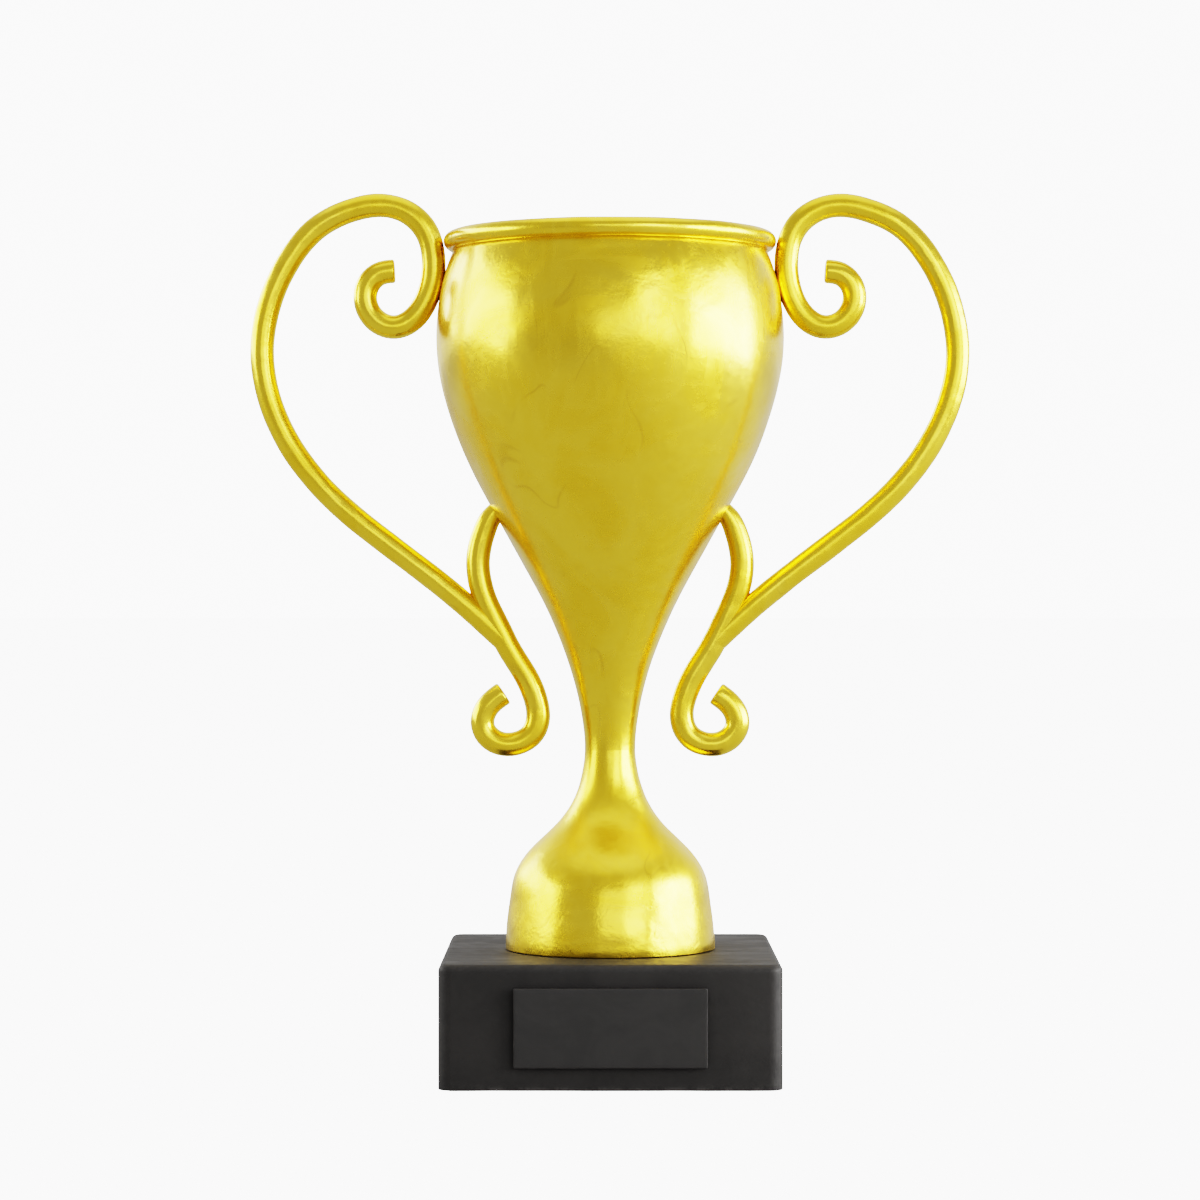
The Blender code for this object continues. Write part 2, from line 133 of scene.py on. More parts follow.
# Plinth
PLINTH_CORNER = 4.5
PLINTH_TOP_EDGE = 2.2
FELT_RECESS_SIDE = 105.0
FELT_RECESS_DEPTH = 1.0
NUT_RECESS_RADIUS = 14.0
NUT_RECESS_DEPTH = 18.0
PLINTH_BOTTOM_EDGE = 0.2
PLATE_CORNER = 0.45
PLATE_EDGE = 0.3


# ---------------------------------------------------------------- curves and outlines

def smooth_through(knots, spacing):
    """Evenly spaced points on the one smoothly bending curve through the knots."""
    knots = np.array(knots, float)
    count = len(knots)
    span = np.linalg.norm(np.diff(knots, axis=0), axis=1)
    place = np.concatenate(([0.0], np.cumsum(span)))
    system = np.eye(count)
    pull = np.zeros_like(knots)
    for i in range(1, count - 1):
        system[i, i - 1:i + 2] = span[i - 1], 2 * (span[i - 1] + span[i]), span[i]
        rise_after, rise_before = knots[i + 1] - knots[i], knots[i] - knots[i - 1]
        pull[i] = 6 * (rise_after / span[i] - rise_before / span[i - 1])
    bend = np.linalg.solve(system, pull)
    fine = np.linspace(0.0, place[-1], 60 * count)
    i = np.clip(np.searchsorted(place, fine, side="right") - 1, 0, count - 2)
    length = span[i][:, None]
    after = (fine - place[i])[:, None]
    before = length - after
    curve = (bend[i] * before ** 3 + bend[i + 1] * after ** 3) / (6 * length)
    curve += (knots[i] / length - bend[i] * length / 6) * before
    curve += (knots[i + 1] / length - bend[i + 1] * length / 6) * after
    travelled = np.concatenate(([0.0], np.cumsum(np.linalg.norm(np.diff(curve, axis=0), axis=1))))
    steps = max(2, int(round(travelled[-1] / spacing)))
    even = np.linspace(0.0, travelled[-1], steps + 1)
    return np.stack([np.interp(even, travelled, curve[:, k]) for k in (0, 1)], axis=1)


BODY_OUTLINE = smooth_through(FOOT_OUTLINE + [NECK_SEAM] + BOWL_OUTLINE, 0.1)


def outline_between(low, high, spacing):
    """The cup's outside between two heights, as (radius, height) at an even spacing."""
    inside = BODY_OUTLINE[(BODY_OUTLINE[:, 1] > low + 0.05) & (BODY_OUTLINE[:, 1] < high - 0.05)]
    ends = [(np.interp(z, BODY_OUTLINE[:, 1], BODY_OUTLINE[:, 0]), z) for z in (low, high)]
    line = np.vstack((ends[:1], inside, ends[1:]))
    travelled = np.concatenate(([0.0], np.cumsum(np.linalg.norm(np.diff(line, axis=0), axis=1))))
    even = np.linspace(0.0, travelled[-1], int(travelled[-1] / spacing) + 1)
    return np.stack([np.interp(even, travelled, line[:, k]) for k in (0, 1)], axis=1)


def moved_inwards(line, distance):
    """An outline moved towards the axis, square to itself."""
    along = np.gradient(line, axis=0)
    along /= np.linalg.norm(along, axis=1)[:, None]
    return line + distance * np.stack((-along[:, 1], along[:, 0]), axis=1)


def arc(centre, radius, start, end, steps):
    """Points on an arc, from one angle to another in degrees."""
    angles = np.radians(np.linspace(start, end, steps + 1))
    return [(centre[0] + radius * cos(a), centre[1] + radius * sin(a)) for a in angles]


def wall_radius(height):
    return np.interp(height, BODY_OUTLINE[:, 1], BODY_OUTLINE[:, 0])


def wall_point(side, height):
    """Point on the bowl's outside, and the outward direction there, on one side."""
    slope = wall_radius(height + 0.5) - wall_radius(height - 0.5)
    direction = Vector((side, 0.0, -slope)).normalized()
    return Vector((side * wall_radius(height), 0.0, height)), direction


class Centreline:
    """A rod's centreline in the XZ plane, which goes on straight past its last point."""

    def __init__(self, knots):
        self.points = smooth_through(knots, ROUTE_GRAIN)
        along = np.gradient(self.points, axis=0)
        self.along = along / np.linalg.norm(along, axis=1)[:, None]
        steps = np.linalg.norm(np.diff(self.points, axis=0), axis=1)
        self.travelled = np.concatenate(([0.0], np.cumsum(steps)))
        self.length = self.travelled[-1]

    def at(self, distance):
        """Points on the line and its direction there."""
        held = np.clip(distance, 0.0, self.length)
        point = np.stack([np.interp(held, self.travelled, self.points[:, k]) for k in (0, 1)], -1)
        along = np.stack([np.interp(held, self.travelled, self.along[:, k]) for k in (0, 1)], -1)
        return point + along * (distance - held)[..., None], along

    def outside_by(self, points):
        """How far points lie beyond the line on its left, negative on its right."""
        samples = self.points[::10]
        across = np.stack((-self.along[::10, 1], self.along[::10, 0]), axis=1)
        gaps = points[..., None, :] - samples
        nearest = (gaps ** 2).sum(-1).argmin(-1)
        gap = np.take_along_axis(gaps, nearest[..., None, None], axis=-2)[..., 0, :]
        return (gap * across[nearest]).sum(-1)

    def surface(self, distance, angle, radius):
        """Points on the rod's skin, at distances along it and angles around it."""
        point, along = self.at(distance)
        across = radius * np.cos(angle)
        x = point[..., 0] - along[..., 1] * across
        z = point[..., 1] + along[..., 0] * across
        return np.stack((x, radius * np.sin(angle), z), axis=-1)


# ---------------------------------------------------------------- meshes

def skin(rings, closed=True):
    """A mesh over rings of points. It joins the last ring to the first, or closes both ends."""
    bm = bmesh.new()
    rows = [[bm.verts.new(point) for point in ring] for ring in rings]
    pairs = list(zip(rows, rows[1:]))
    if closed:
        pairs.append((rows[-1], rows[0]))
    for row, following in pairs:
        for i in range(len(row)):
            j = (i + 1) % len(row)
            bm.faces.new((row[i], row[j], following[j], following[i]))
    if not closed:
        bm.faces.new(rows[0])
        bm.faces.new(rows[-1])
    return bm


def round_ring(radius, height, sides):
    """Points around Z. The radius and the height may differ from point to point."""
    angles = np.arange(sides) * tau / sides
    return np.stack((radius * np.cos(angles), radius * np.sin(angles), np.full(sides, height)), 1)


def turned(outline, sides):
    """Rings around Z, one for each (radius, height) of an outline."""
    return [round_ring(radius, height, sides) for radius, height in outline]


def spun(outline, sides):
    """Revolves a closed outline about Z."""
    return skin(turned(outline, sides))


def hand_wobble(bm, wavelength, depth, shift=0.0):
    """Moves a skin in and out a little, as spinning, bending and planishing leave it."""
    bm.normal_update()
    offset = Vector((shift, -shift, 2.0 * shift))
    moves = [vert.normal * depth * noise.noise(vert.co / wavelength + offset) for vert in bm.verts]
    for vert, move in zip(bm.verts, moves):
        vert.co += move
    return bm


def turn_to(bm, origin, direction):
    """Places a mesh made along local Z with its origin and Z axis where given."""
    aim = Vector(direction).to_track_quat("Z", "Y").to_matrix().to_4x4()
    bmesh.ops.transform(bm, matrix=Matrix.Translation(origin) @ aim, verts=bm.verts)
    return bm


def in_scene(name, data):
    """An object in the scene with this mesh, lamp or camera."""
    made = bpy.data.objects.new(name, data)
    bpy.context.scene.collection.objects.link(made)
    return made


def mesh_from(name, bm):
    mesh = bpy.data.meshes.new(name)
    bm.to_mesh(mesh)
    bm.free()
    return mesh


def finished(name, bm, finish, nodes, smooth_angle=35.0):
    """Makes the piece that stands for the CAD nodes, in metres, with its finish."""
    bmesh.ops.scale(bm, vec=(MM, MM, MM), verts=bm.verts)
    bmesh.ops.recalc_face_normals(bm, faces=bm.faces)
    mesh = mesh_from(name, bm)
    mesh.shade_smooth()
    mesh.set_sharp_from_angle(angle=radians(smooth_angle))
    mesh.materials.append(finish)
    made = in_scene(name, mesh)
    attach(made, "root")
    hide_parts(*nodes)
    return made


def cad_box(node):
    """A CAD node's lowest and highest corners in millimetres."""
    low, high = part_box(node)
    return low / MM, high / MM


def rounded_rectangle(width, depth, corner, corner_steps=6, side_steps=8):
    """Corner points of a rectangle with round corners, going once around."""
    centres = [(x * (width / 2 - corner), y * (depth / 2 - corner))
               for x, y in ((1, 1), (-1, 1), (-1, -1), (1, -1))]
    corners = [arc(centre, corner, 90 * turn, 90 * turn + 90, corner_steps)
               for turn, centre in enumerate(centres)]
    points = []
    for this, following in zip(corners, corners[1:] + corners[:1]):
        points += this
        last, first = np.array(this[-1]), np.array(following[0])
        for step in range(1, side_steps):
            points.append(tuple(last + (first - last) * step / side_steps))
    return np.array(points)


def circle_facing(points, radius):
    """Points on a circle in the same directions as the given ones."""
    return radius * points / np.linalg.norm(points, axis=1)[:, None]


def levels(outlines_and_heights):
    """Rings from flat outlines and their heights."""
    return [np.column_stack((points, np.full(len(points), height)))
            for points, height in outlines_and_heights]


# ---------------------------------------------------------------- shader nodes

def shader_node(tree, kind, inputs=None, **settings):
    """Adds a node. Its inputs are values, or the sockets that feed them."""
    made = tree.nodes.new(f"ShaderNode{kind}")
    for name, value in settings.items():
        setattr(made, name, value)
    for socket, value in (inputs or {}).items():
        if isinstance(value, bpy.types.NodeSocket):
            tree.links.new(value, made.inputs[socket])
        else:
            made.inputs[socket].default_value = value
    return made


def maths(tree, operation, first, second=0.0, clamp=False):
    return shader_node(tree, "Math", {0: first, 1: second}, operation=operation,
                       use_clamp=clamp).outputs[0]


def plus(tree, first, second):
    return maths(tree, "ADD", first, second)


def times(tree, first, second, clamp=False):
    return maths(tree, "MULTIPLY", first, second, clamp)


def spread(tree, value, low, high, to_low=0.0, to_high=1.0):
    """Maps a value smoothly from one range to another."""
    return shader_node(tree, "MapRange", {"Value": value, "From Min": low, "From Max": high,
                                          "To Min": to_low, "To Max": to_high},
                       interpolation_type="SMOOTHSTEP").outputs["Result"]


def tint(tree, share, first, second):
    """Mixes two colours, each a socket or its red, green and blue."""
    first, second = [colour if isinstance(colour, bpy.types.NodeSocket) else (*colour, 1.0)
                     for colour in (first, second)]
    return shader_node(tree, "Mix", {0: share, 6: first, 7: second}, data_type="RGBA",
                       clamp_factor=True).outputs[2]


def aged_colour(tree, tone, darker, paler, specks, share):
    """Patches of two close colours, with specks of a third showing by that share."""
    colour = tint(tree, tone["Patch"], darker, paler)
    return tint(tree, times(tree, tone["Speck"], share), colour, specks)


def cloud(tree, place, scale, detail=3.0, roughness=0.55, warp=0.0):
    """Soft noise from 0 to 1 at so many repeats a metre."""
    made = shader_node(tree, "TexNoise", {"Vector": place, "Scale": scale, "Detail": detail,
                                          "Roughness": roughness, "Distortion": warp})
    return made.outputs["Fac"]


def stretched(tree, place, amounts, turn=(0.0, 0.0, 0.0)):
    return shader_node(tree, "Mapping", {"Vector": place, "Scale": amounts,
                                         "Rotation": turn}).outputs["Vector"]


def new_effect(name, outputs, **amounts):
    """An effect shared between finishes, with a named socket for each of its amounts."""
    effect = bpy.data.node_groups.new(name, "ShaderNodeTree")
    effect.interface.new_socket("Place", in_out="INPUT", socket_type="NodeSocketVector")
    for label, value in amounts.items():
        socket = effect.interface.new_socket(label, in_out="INPUT", socket_type="NodeSocketFloat")
        socket.default_value = value
    for label in outputs:
        effect.interface.new_socket(label, in_out="OUTPUT", socket_type="NodeSocketFloat")
    given = effect.nodes.new("NodeGroupInput").outputs
    out = effect.nodes.new("NodeGroupOutput").inputs
    return effect, given, out


def patchy_tone():
    """Broad patches and small specks of a differently aged surface."""
    effect, given, out = new_effect(
        "patchy tone", ["Patch", "Speck"], Patches=30.0, Specks=600.0)
    broad = cloud(effect, given["Place"], given["Patches"], 5.0, 0.62, 1.2)
    effect.links.new(spread(effect, broad, 0.34, 0.66), out["Patch"])
    fine = cloud(effect, given["Place"], given["Specks"], 4.0, 0.7)
    effect.links.new(spread(effect, fine, 0.54, 0.74), out["Speck"])
    return effect


def rubbed_and_creased():
    """Curving creases in a few places, and short streaks left by wiping."""
    effect, given, out = new_effect(
        "rubbed and creased", ["Height", "Crease", "Streak"], Creases=60.0, Streaks=240.0)
    place = given["Place"]
    ridge = cloud(effect, stretched(effect, place, (1.0, 1.0, 0.6), (0.0, 0.7, 0.0)),
                  given["Creases"], 1.0, 0.35, 0.9)
    ridge = maths(effect, "ABSOLUTE", maths(effect, "SUBTRACT", ridge, 0.5))
    ridge = spread(effect, ridge, 0.0, 0.020, 1.0, 0.0)
    where = spread(effect, cloud(effect, place, 47.0, 1.0), 0.55, 0.67)
    crease = times(effect, ridge, where)
    first = cloud(effect, stretched(effect, place, (1.0, 1.0, 0.16), (0.5, 0.3, 0.7)),
                  given["Streaks"], 2.0, 0.5, 0.6)
    second = cloud(effect, stretched(effect, place, (0.2, 1.0, 1.0), (0.2, 0.9, 0.4)),
                   given["Streaks"], 2.0, 0.5, 0.6)
    patch = spread(effect, cloud(effect, place, 48.0, 3.0), 0.44, 0.58)
    other_patch = maths(effect, "SUBTRACT", 1.0, patch)
    streak = plus(effect, times(effect, first, patch), times(effect, second, other_patch))
    height = maths(effect, "SUBTRACT", times(effect, streak, 0.55), times(effect, crease, 0.16))
    effect.links.new(height, out["Height"])
    effect.links.new(crease, out["Crease"])
    effect.links.new(spread(effect, streak, 0.40, 0.68), out["Streak"])
    return effect


def fine_grain():
    """A close grain, finer than can be felt."""
    effect, given, out = new_effect("fine grain", ["Height"], Grain=1500.0)
    grain = cloud(effect, given["Place"], given["Grain"], 1.0, 0.5)
    effect.links.new(grain, out["Height"])
    return effect


def rubbed_edges():
    """Edges and corners that handling has rubbed lighter, in broken lengths."""
    effect, given, out = new_effect("rubbed edges", ["Edge"], Start=0.53, Full=0.60)
    sharpness = shader_node(effect, "NewGeometry").outputs["Pointiness"]
    edge = spread(effect, sharpness, given["Start"], given["Full"])
    broken = spread(effect, cloud(effect, given["Place"], 320.0, 4.0, 0.65), 0.40, 0.62)
    effect.links.new(times(effect, edge, broken), out["Edge"])
    return effect


def settled_dust():
    """A thin film of dust and a few lint specks, on what faces up."""
    effect, given, out = new_effect("settled dust", ["Dust"], Amount=0.5)
    normal = shader_node(effect, "NewGeometry").outputs["Normal"]
    up = shader_node(effect, "SeparateXYZ", {0: normal}).outputs["Z"]
    facing_up = spread(effect, up, 0.15, 0.95, 0.12, 1.0)
    film = spread(effect, cloud(effect, given["Place"], 55.0, 5.0, 0.6), 0.30, 0.72, 0.15, 0.7)
    lint = spread(effect, cloud(effect, given["Place"], 1900.0, 1.0), 0.70, 0.76)
    dust = times(effect, plus(effect, film, lint), facing_up)
    effect.links.new(times(effect, dust, given["Amount"], clamp=True), out["Dust"])
    return effect


def tool_lines():
    """The close rings that a lathe tool leaves around the axis."""
    effect, given, out = new_effect("tool lines", ["Height"], Lines=2600.0)
    parts = shader_node(effect, "SeparateXYZ", {0: given["Place"]}).outputs
    squares = [maths(effect, "POWER", parts[axis], 2.0) for axis in ("X", "Y")]
    radius = maths(effect, "SQRT", plus(effect, *squares))
    along = times(effect, plus(effect, radius, parts["Z"]), given["Lines"])
    ripple = times(effect, maths(effect, "SINE", along), 0.5)
    stray = cloud(effect, stretched(effect, given["Place"], (0.05, 0.05, 1.0)), 2200.0)
    effect.links.new(plus(effect, ripple, times(effect, stray, 0.7)), out["Height"])
    return effect


EFFECTS = {
    "tone": patchy_tone(),
    "rub": rubbed_and_creased(),
    "grain": fine_grain(),
    "edges": rubbed_edges(),
    "dust": settled_dust(),
    "lines": tool_lines(),
}


def use_effect(tree, effect, place, **amounts):
    """Places a shared effect in a finish, with that finish's own amounts."""
    used = tree.nodes.new("ShaderNodeGroup")
    used.node_tree = EFFECTS[effect]
    tree.links.new(place, used.inputs["Place"])
    for name, value in amounts.items():
        used.inputs[name].default_value = value
    return used.outputs


def raised(tree, height, depth, onto=None):
    """Relief of that depth in metres, over any relief already there."""
    inputs = {"Height": height, "Distance": depth}
    if onto is not None:
        inputs["Normal"] = onto
    return shader_node(tree, "Bump", inputs).outputs["Normal"]


def new_finish(name, **constants):
    """A material with its plain values set on the shader's own sockets."""
    finish = bpy.data.materials.new(name)
    finish.use_nodes = True
    tree = finish.node_tree
    for socket, value in constants.items():
        tree.nodes["Principled BSDF"].inputs[socket.replace("_", " ")].default_value = value
    return finish, tree, shader_node(tree, "TexCoord").outputs["Object"]


def covered(finish, colour, rough, relief, **others):
    """Feeds the shader with what changes over the surface, and returns the finish."""
    surface = finish.node_tree.nodes["Principled BSDF"]
    sockets = dict(Base_Color=colour, Roughness=rough, Normal=relief, **others)
    for name, value in sockets.items():
        finish.node_tree.links.new(value, surface.inputs[name.replace("_", " ")])
    return finish


# ---------------------------------------------------------------- finishes

# Heights in metres that the gold's wear and the painted shade towards the foot's bottom follow,
# each as (where it starts, where it is full)
PAINTED_SHADE_LOW = (0.062, 0.043)
WORN_BOWL = (0.180, 0.225)      # handling has worn the plate here, and on the foot
WORN_FOOT = (0.100, 0.085)
COVE_BELOW = (0.062, 0.073)     # the mop doesn't reach into the foot's cove
COVE_ABOVE = (0.096, 0.083)
LEAST_WEAR = 0.45
DENTS = (34.0, 2.0, 0.45, 0.8)  # the broad unevenness of spun sheet, outside and inside
DENT_DEPTH = 0.0008


def gilded_metal(name, wear):
    """Gold plate under a thin clear coat: patchy, rubbed and softly uneven, with painted shade in
    its creases and towards the foot's bottom.
    """
    finish, tree, place = new_finish(
        name, Metallic=1.0, Coat_Roughness=0.24, Coat_IOR=1.5)
    tone = use_effect(tree, "tone", place, Patches=26.0, Specks=520.0)
    rub = use_effect(tree, "rub", place, Creases=52.0, Streaks=300.0)
    grain = use_effect(tree, "grain", place, Grain=950.0)
    height = shader_node(tree, "SeparateXYZ", {0: place}).outputs["Z"]

    # painted shade: the darker, more orange specks show more towards the foot's bottom, where it
    # meets the plinth
    low_painted_shade = spread(tree, height, *PAINTED_SHADE_LOW, 0.06, 0.16)
    colour = aged_colour(tree, tone, darker=(0.83, 0.565, 0.046), paler=(0.88, 0.630, 0.066),
                         specks=(0.66, 0.38, 0.022), share=low_painted_shade)
    # painted shade: the creases' lines are darkened towards a deeper, browner gold
    colour = tint(tree, times(tree, rub["Crease"], 0.36), colour, (0.52, 0.32, 0.030))
    colour = tint(tree, times(tree, rub["Streak"], 0.10), colour, (0.93, 0.70, 0.12))

    cove = times(tree, spread(tree, height, *COVE_BELOW), spread(tree, height, *COVE_ABOVE))
    rough = spread(tree, tone["Patch"], 0.0, 1.0, 0.27, 0.20)
    for mark, dulling in ((rub["Streak"], 0.05), (tone["Speck"], 0.05), (cove, 0.11)):
        rough = plus(tree, rough, times(tree, mark, dulling))
    coat = spread(tree, tone["Patch"], 0.0, 1.0, 0.30, 0.50)

    worn = maths(tree, "MAXIMUM", *[spread(tree, height, *zone, LEAST_WEAR * wear, wear)
                                    for zone in (WORN_BOWL, WORN_FOOT)])
    patches = spread(tree, cloud(tree, place, 38.0, 3.0, 0.5), 0.42, 0.60, 0.25, 1.5)
    rubbed = times(tree, maths(tree, "SUBTRACT", rub["Height"], 0.27), worn)
    uneven = times(tree, maths(tree, "SUBTRACT", grain["Height"], 0.5),
                   times(tree, patches, worn))
    waves = times(tree, cloud(tree, place, 110.0, 3.0, 0.55, 0.6),
                  spread(tree, height, *WORN_FOOT, 1.0, 1.9))
    relief = raised(tree, cloud(tree, place, *DENTS), DENT_DEPTH)
    for bumps, depth in ((waves, 0.00012), (rubbed, 0.00006), (uneven, 0.000022)):
        relief = raised(tree, bumps, depth, relief)
    return covered(finish, colour, rough, relief, Coat_Weight=coat)


def satin_gold():
    """The bowl's inside: plated over a finely brushed wall and less glossy, its gold painted paler
    than the outside's to offset how light bouncing inside the bowl deepens it.
    """
    finish, tree, place = new_finish("satin gold inside", Metallic=1.0)
    tone = use_effect(tree, "tone", place, Patches=40.0, Specks=700.0)
    lines = use_effect(tree, "lines", place, Lines=5200.0)
    # painted light: a paler, less saturated gold than the outside's, offsetting the deeper tone of
    # light bouncing inside the bowl
    colour = aged_colour(tree, tone, darker=(0.86, 0.68, 0.20), paler=(0.90, 0.74, 0.27),
                         specks=(0.62, 0.42, 0.10), share=0.15)
    rough = spread(tree, tone["Patch"], 0.0, 1.0, 0.48, 0.38)
    relief = raised(tree, cloud(tree, place, *DENTS), DENT_DEPTH)
    relief = raised(tree, lines["Height"], 0.000020, relief)
    return covered(finish, colour, rough, relief)


def turned_brass():
    finish, tree, place = new_finish("turned brass", Metallic=1.0)
    tone = use_effect(tree, "tone", place, Patches=90.0, Specks=900.0)
    lines = use_effect(tree, "lines", place, Lines=15000.0)
    colour = aged_colour(tree, tone, darker=(0.66, 0.46, 0.17), paler=(0.78, 0.58, 0.26),
                         specks=(0.42, 0.26, 0.10), share=0.4)
    rough = spread(tree, tone["Patch"], 0.0, 1.0, 0.38, 0.26)
    relief = raised(tree, lines["Height"], 0.000012)
    return covered(finish, colour, rough, relief)


def zinc_plate():
    finish, tree, place = new_finish("zinc plated steel", Metallic=1.0)
    tone = use_effect(tree, "tone", place, Patches=140.0, Specks=1300.0)
    grain = use_effect(tree, "grain", place, Grain=2600.0)
    edges = use_effect(tree, "edges", place, Start=0.54, Full=0.64)
    colour = aged_colour(tree, tone, darker=(0.50, 0.52, 0.56), paler=(0.66, 0.65, 0.60),
                         specks=(0.30, 0.30, 0.31), share=0.35)
    colour = tint(tree, times(tree, edges["Edge"], 0.6), colour, (0.80, 0.80, 0.80))
    rough = spread(tree, tone["Patch"], 0.0, 1.0, 0.42, 0.30)
    relief = raised(tree, grain["Height"], 0.000018)
    return covered(finish, colour, rough, relief)


def black_lacquer():
    """Satin black lacquer: a faint orange peel, a little dust, edges rubbed lighter."""
    finish, tree, place = new_finish(
        "black lacquer", Metallic=0.0, Specular_IOR_Level=0.28)
    tone = use_effect(tree, "tone", place, Patches=22.0, Specks=700.0)
    grain = use_effect(tree, "grain", place, Grain=900.0)
    edges = use_effect(tree, "edges", place, Start=0.505, Full=0.56)
    dust = use_effect(tree, "dust", place, Amount=0.06)
    rub = use_effect(tree, "rub", place, Creases=80.0, Streaks=160.0)
    colour = tint(tree, tone["Patch"], (0.0325, 0.0312, 0.0303), (0.039, 0.0372, 0.0360))
    colour = tint(tree, times(tree, edges["Edge"], 0.16), colour, (0.16, 0.150, 0.142))
    colour = tint(tree, dust["Dust"], colour, (0.30, 0.28, 0.26))
    rough = spread(tree, tone["Patch"], 0.0, 1.0, 0.58, 0.50)
    rough = plus(tree, rough, times(tree, rub["Streak"], 0.05))
    rough = plus(tree, rough, dust["Dust"])
    relief = raised(tree, cloud(tree, place, 260.0, 2.0, 0.4), 0.00006)
    relief = raised(tree, grain["Height"], 0.00003, relief)
    return covered(finish, colour, rough, relief)


def black_anodised():
    """Black anodised sheet with a very fine brushing along its length."""
    finish, tree, place = new_finish(
        "black anodised plate", Metallic=0.0, Specular_IOR_Level=0.45)
    tone = use_effect(tree, "tone", place, Patches=40.0, Specks=900.0)
    edges = use_effect(tree, "edges", place, Start=0.53, Full=0.62)
    brushing = cloud(tree, stretched(tree, place, (0.02, 1.0, 1.0)), 4200.0, 3.0, 0.6)
    colour = tint(tree, tone["Patch"], (0.031, 0.0300, 0.0292), (0.036, 0.0346, 0.0336))
    colour = tint(tree, times(tree, edges["Edge"], 0.25), colour, (0.17, 0.16, 0.15))
    rough = plus(tree, times(tree, brushing, 0.10), 0.47)
    relief = raised(tree, brushing, 0.000010)
    return covered(finish, colour, rough, relief)


def foam():
    finish, tree, place = new_finish("foam tape", Metallic=0.0, Specular_IOR_Level=0.2)
    tone = use_effect(tree, "tone", place, Patches=300.0, Specks=3000.0)
    colour = tint(tree, tone["Speck"], (0.030, 0.030, 0.031), (0.008, 0.008, 0.008))
    rough = spread(tree, tone["Patch"], 0.0, 1.0, 0.85, 0.95)
    relief = raised(tree, cloud(tree, place, 3800.0, 2.0), 0.00018)
    return covered(finish, colour, rough, relief)


def pressed_felt():
    """Dark green felt: matted fibres in every direction and a soft nap."""
    finish, tree, place = new_finish(
        "pressed felt", Metallic=0.0, Specular_IOR_Level=0.15, Sheen_Weight=0.35,
        Sheen_Roughness=0.5)
    tone = use_effect(tree, "tone", place, Patches=60.0, Specks=1500.0)
    first = cloud(tree, stretched(tree, place, (1.0, 0.12, 1.0), (0.0, 0.0, 0.6)), 2600.0, 3.0)
    second = cloud(tree, stretched(tree, place, (0.12, 1.0, 1.0), (0.0, 0.0, -0.4)), 2600.0, 3.0)
    fibres = maths(tree, "MAXIMUM", first, second)
    colour = tint(tree, tone["Patch"], (0.012, 0.032, 0.020), (0.020, 0.048, 0.030))
    colour = tint(tree, spread(tree, fibres, 0.52, 0.72), colour, (0.040, 0.082, 0.055))
    rough = spread(tree, tone["Patch"], 0.0, 1.0, 0.92, 1.0)
    relief = raised(tree, fibres, 0.00025)
    return covered(finish, colour, rough, relief)


def fibreboard():
    finish, tree, place = new_finish("fibreboard", Metallic=0.0, Specular_IOR_Level=0.2)
    tone = use_effect(tree, "tone", place, Patches=120.0, Specks=1400.0)
    flakes = cloud(tree, stretched(tree, place, (1.0, 1.0, 3.5)), 900.0, 4.0, 0.65)
    colour = tint(tree, tone["Patch"], (0.28, 0.18, 0.10), (0.36, 0.24, 0.14))
    dark_flakes = spread(tree, flakes, 0.50, 0.68, 0.0, 0.6)
    colour = tint(tree, dark_flakes, colour, (0.17, 0.105, 0.06))
    rough = spread(tree, flakes, 0.3, 0.7, 0.80, 0.95)
    relief = raised(tree, flakes, 0.00012)
    return covered(finish, colour, rough, relief)


# ---------------------------------------------------------------- bowl, bead and foot

def make_bowl(gold, inside_gold):
    """One spun wall from the neck's seam to the lip, which stops inside the bead."""
    lip_height = cad_box("bowl_shell")[1].z
    outside = outline_between(NECK_SEAM[1], lip_height, BOWL_SPACING)
    inside = moved_inwards(outside, WALL)
    inside[0, 1] = NECK_SEAM[1]
    inside[-1, 1] = lip_height
    bm = spun(np.vstack((outside, inside[::-1])), BOWL_SIDES)
    hand_wobble(bm, wavelength=24.0, depth=0.20)
    hand_wobble(bm, wavelength=9.0, depth=0.03, shift=5.0)
    bowl = finished("spun_bowl", bm, gold, ["bowl_shell"], 40.0)
    bowl.data.materials.append(inside_gold)
    # faces towards the axis take the inside's finish, whose gold is painted paler
    for face in bowl.data.polygons:
        towards_axis = face.normal.x * face.center.x + face.normal.y * face.center.y < 0.0
        face.material_index = int(towards_axis)


def make_bead(gold):
    """A round bead with a groove below that holds the bowl's lip."""
    lip_radius, lip_height = BOWL_OUTLINE[-1]
    outer = wall_radius(BEAD_HEIGHT - BEAD_TUBE_RADIUS) + 0.05
    inner = lip_radius - WALL - 0.15
    beside = [np.degrees(-0.5 * pi + np.arcsin((radius - BEAD_RING_RADIUS) / BEAD_TUBE_RADIUS))
              for radius in (outer, inner)]
    section = arc((BEAD_RING_RADIUS, BEAD_HEIGHT), BEAD_TUBE_RADIUS, beside[0], beside[1] + 360, 56)
    groove_top = lip_height + LIP_ROOM
    section += [(inner, groove_top), (lip_radius + LIP_ROOM, groove_top)]
    bm = spun(section, BOWL_SIDES)
    hand_wobble(bm, wavelength=16.0, depth=0.12, shift=2.0)
    finished("mouth_bead", bm, gold, ["rim_bead"], 50.0)


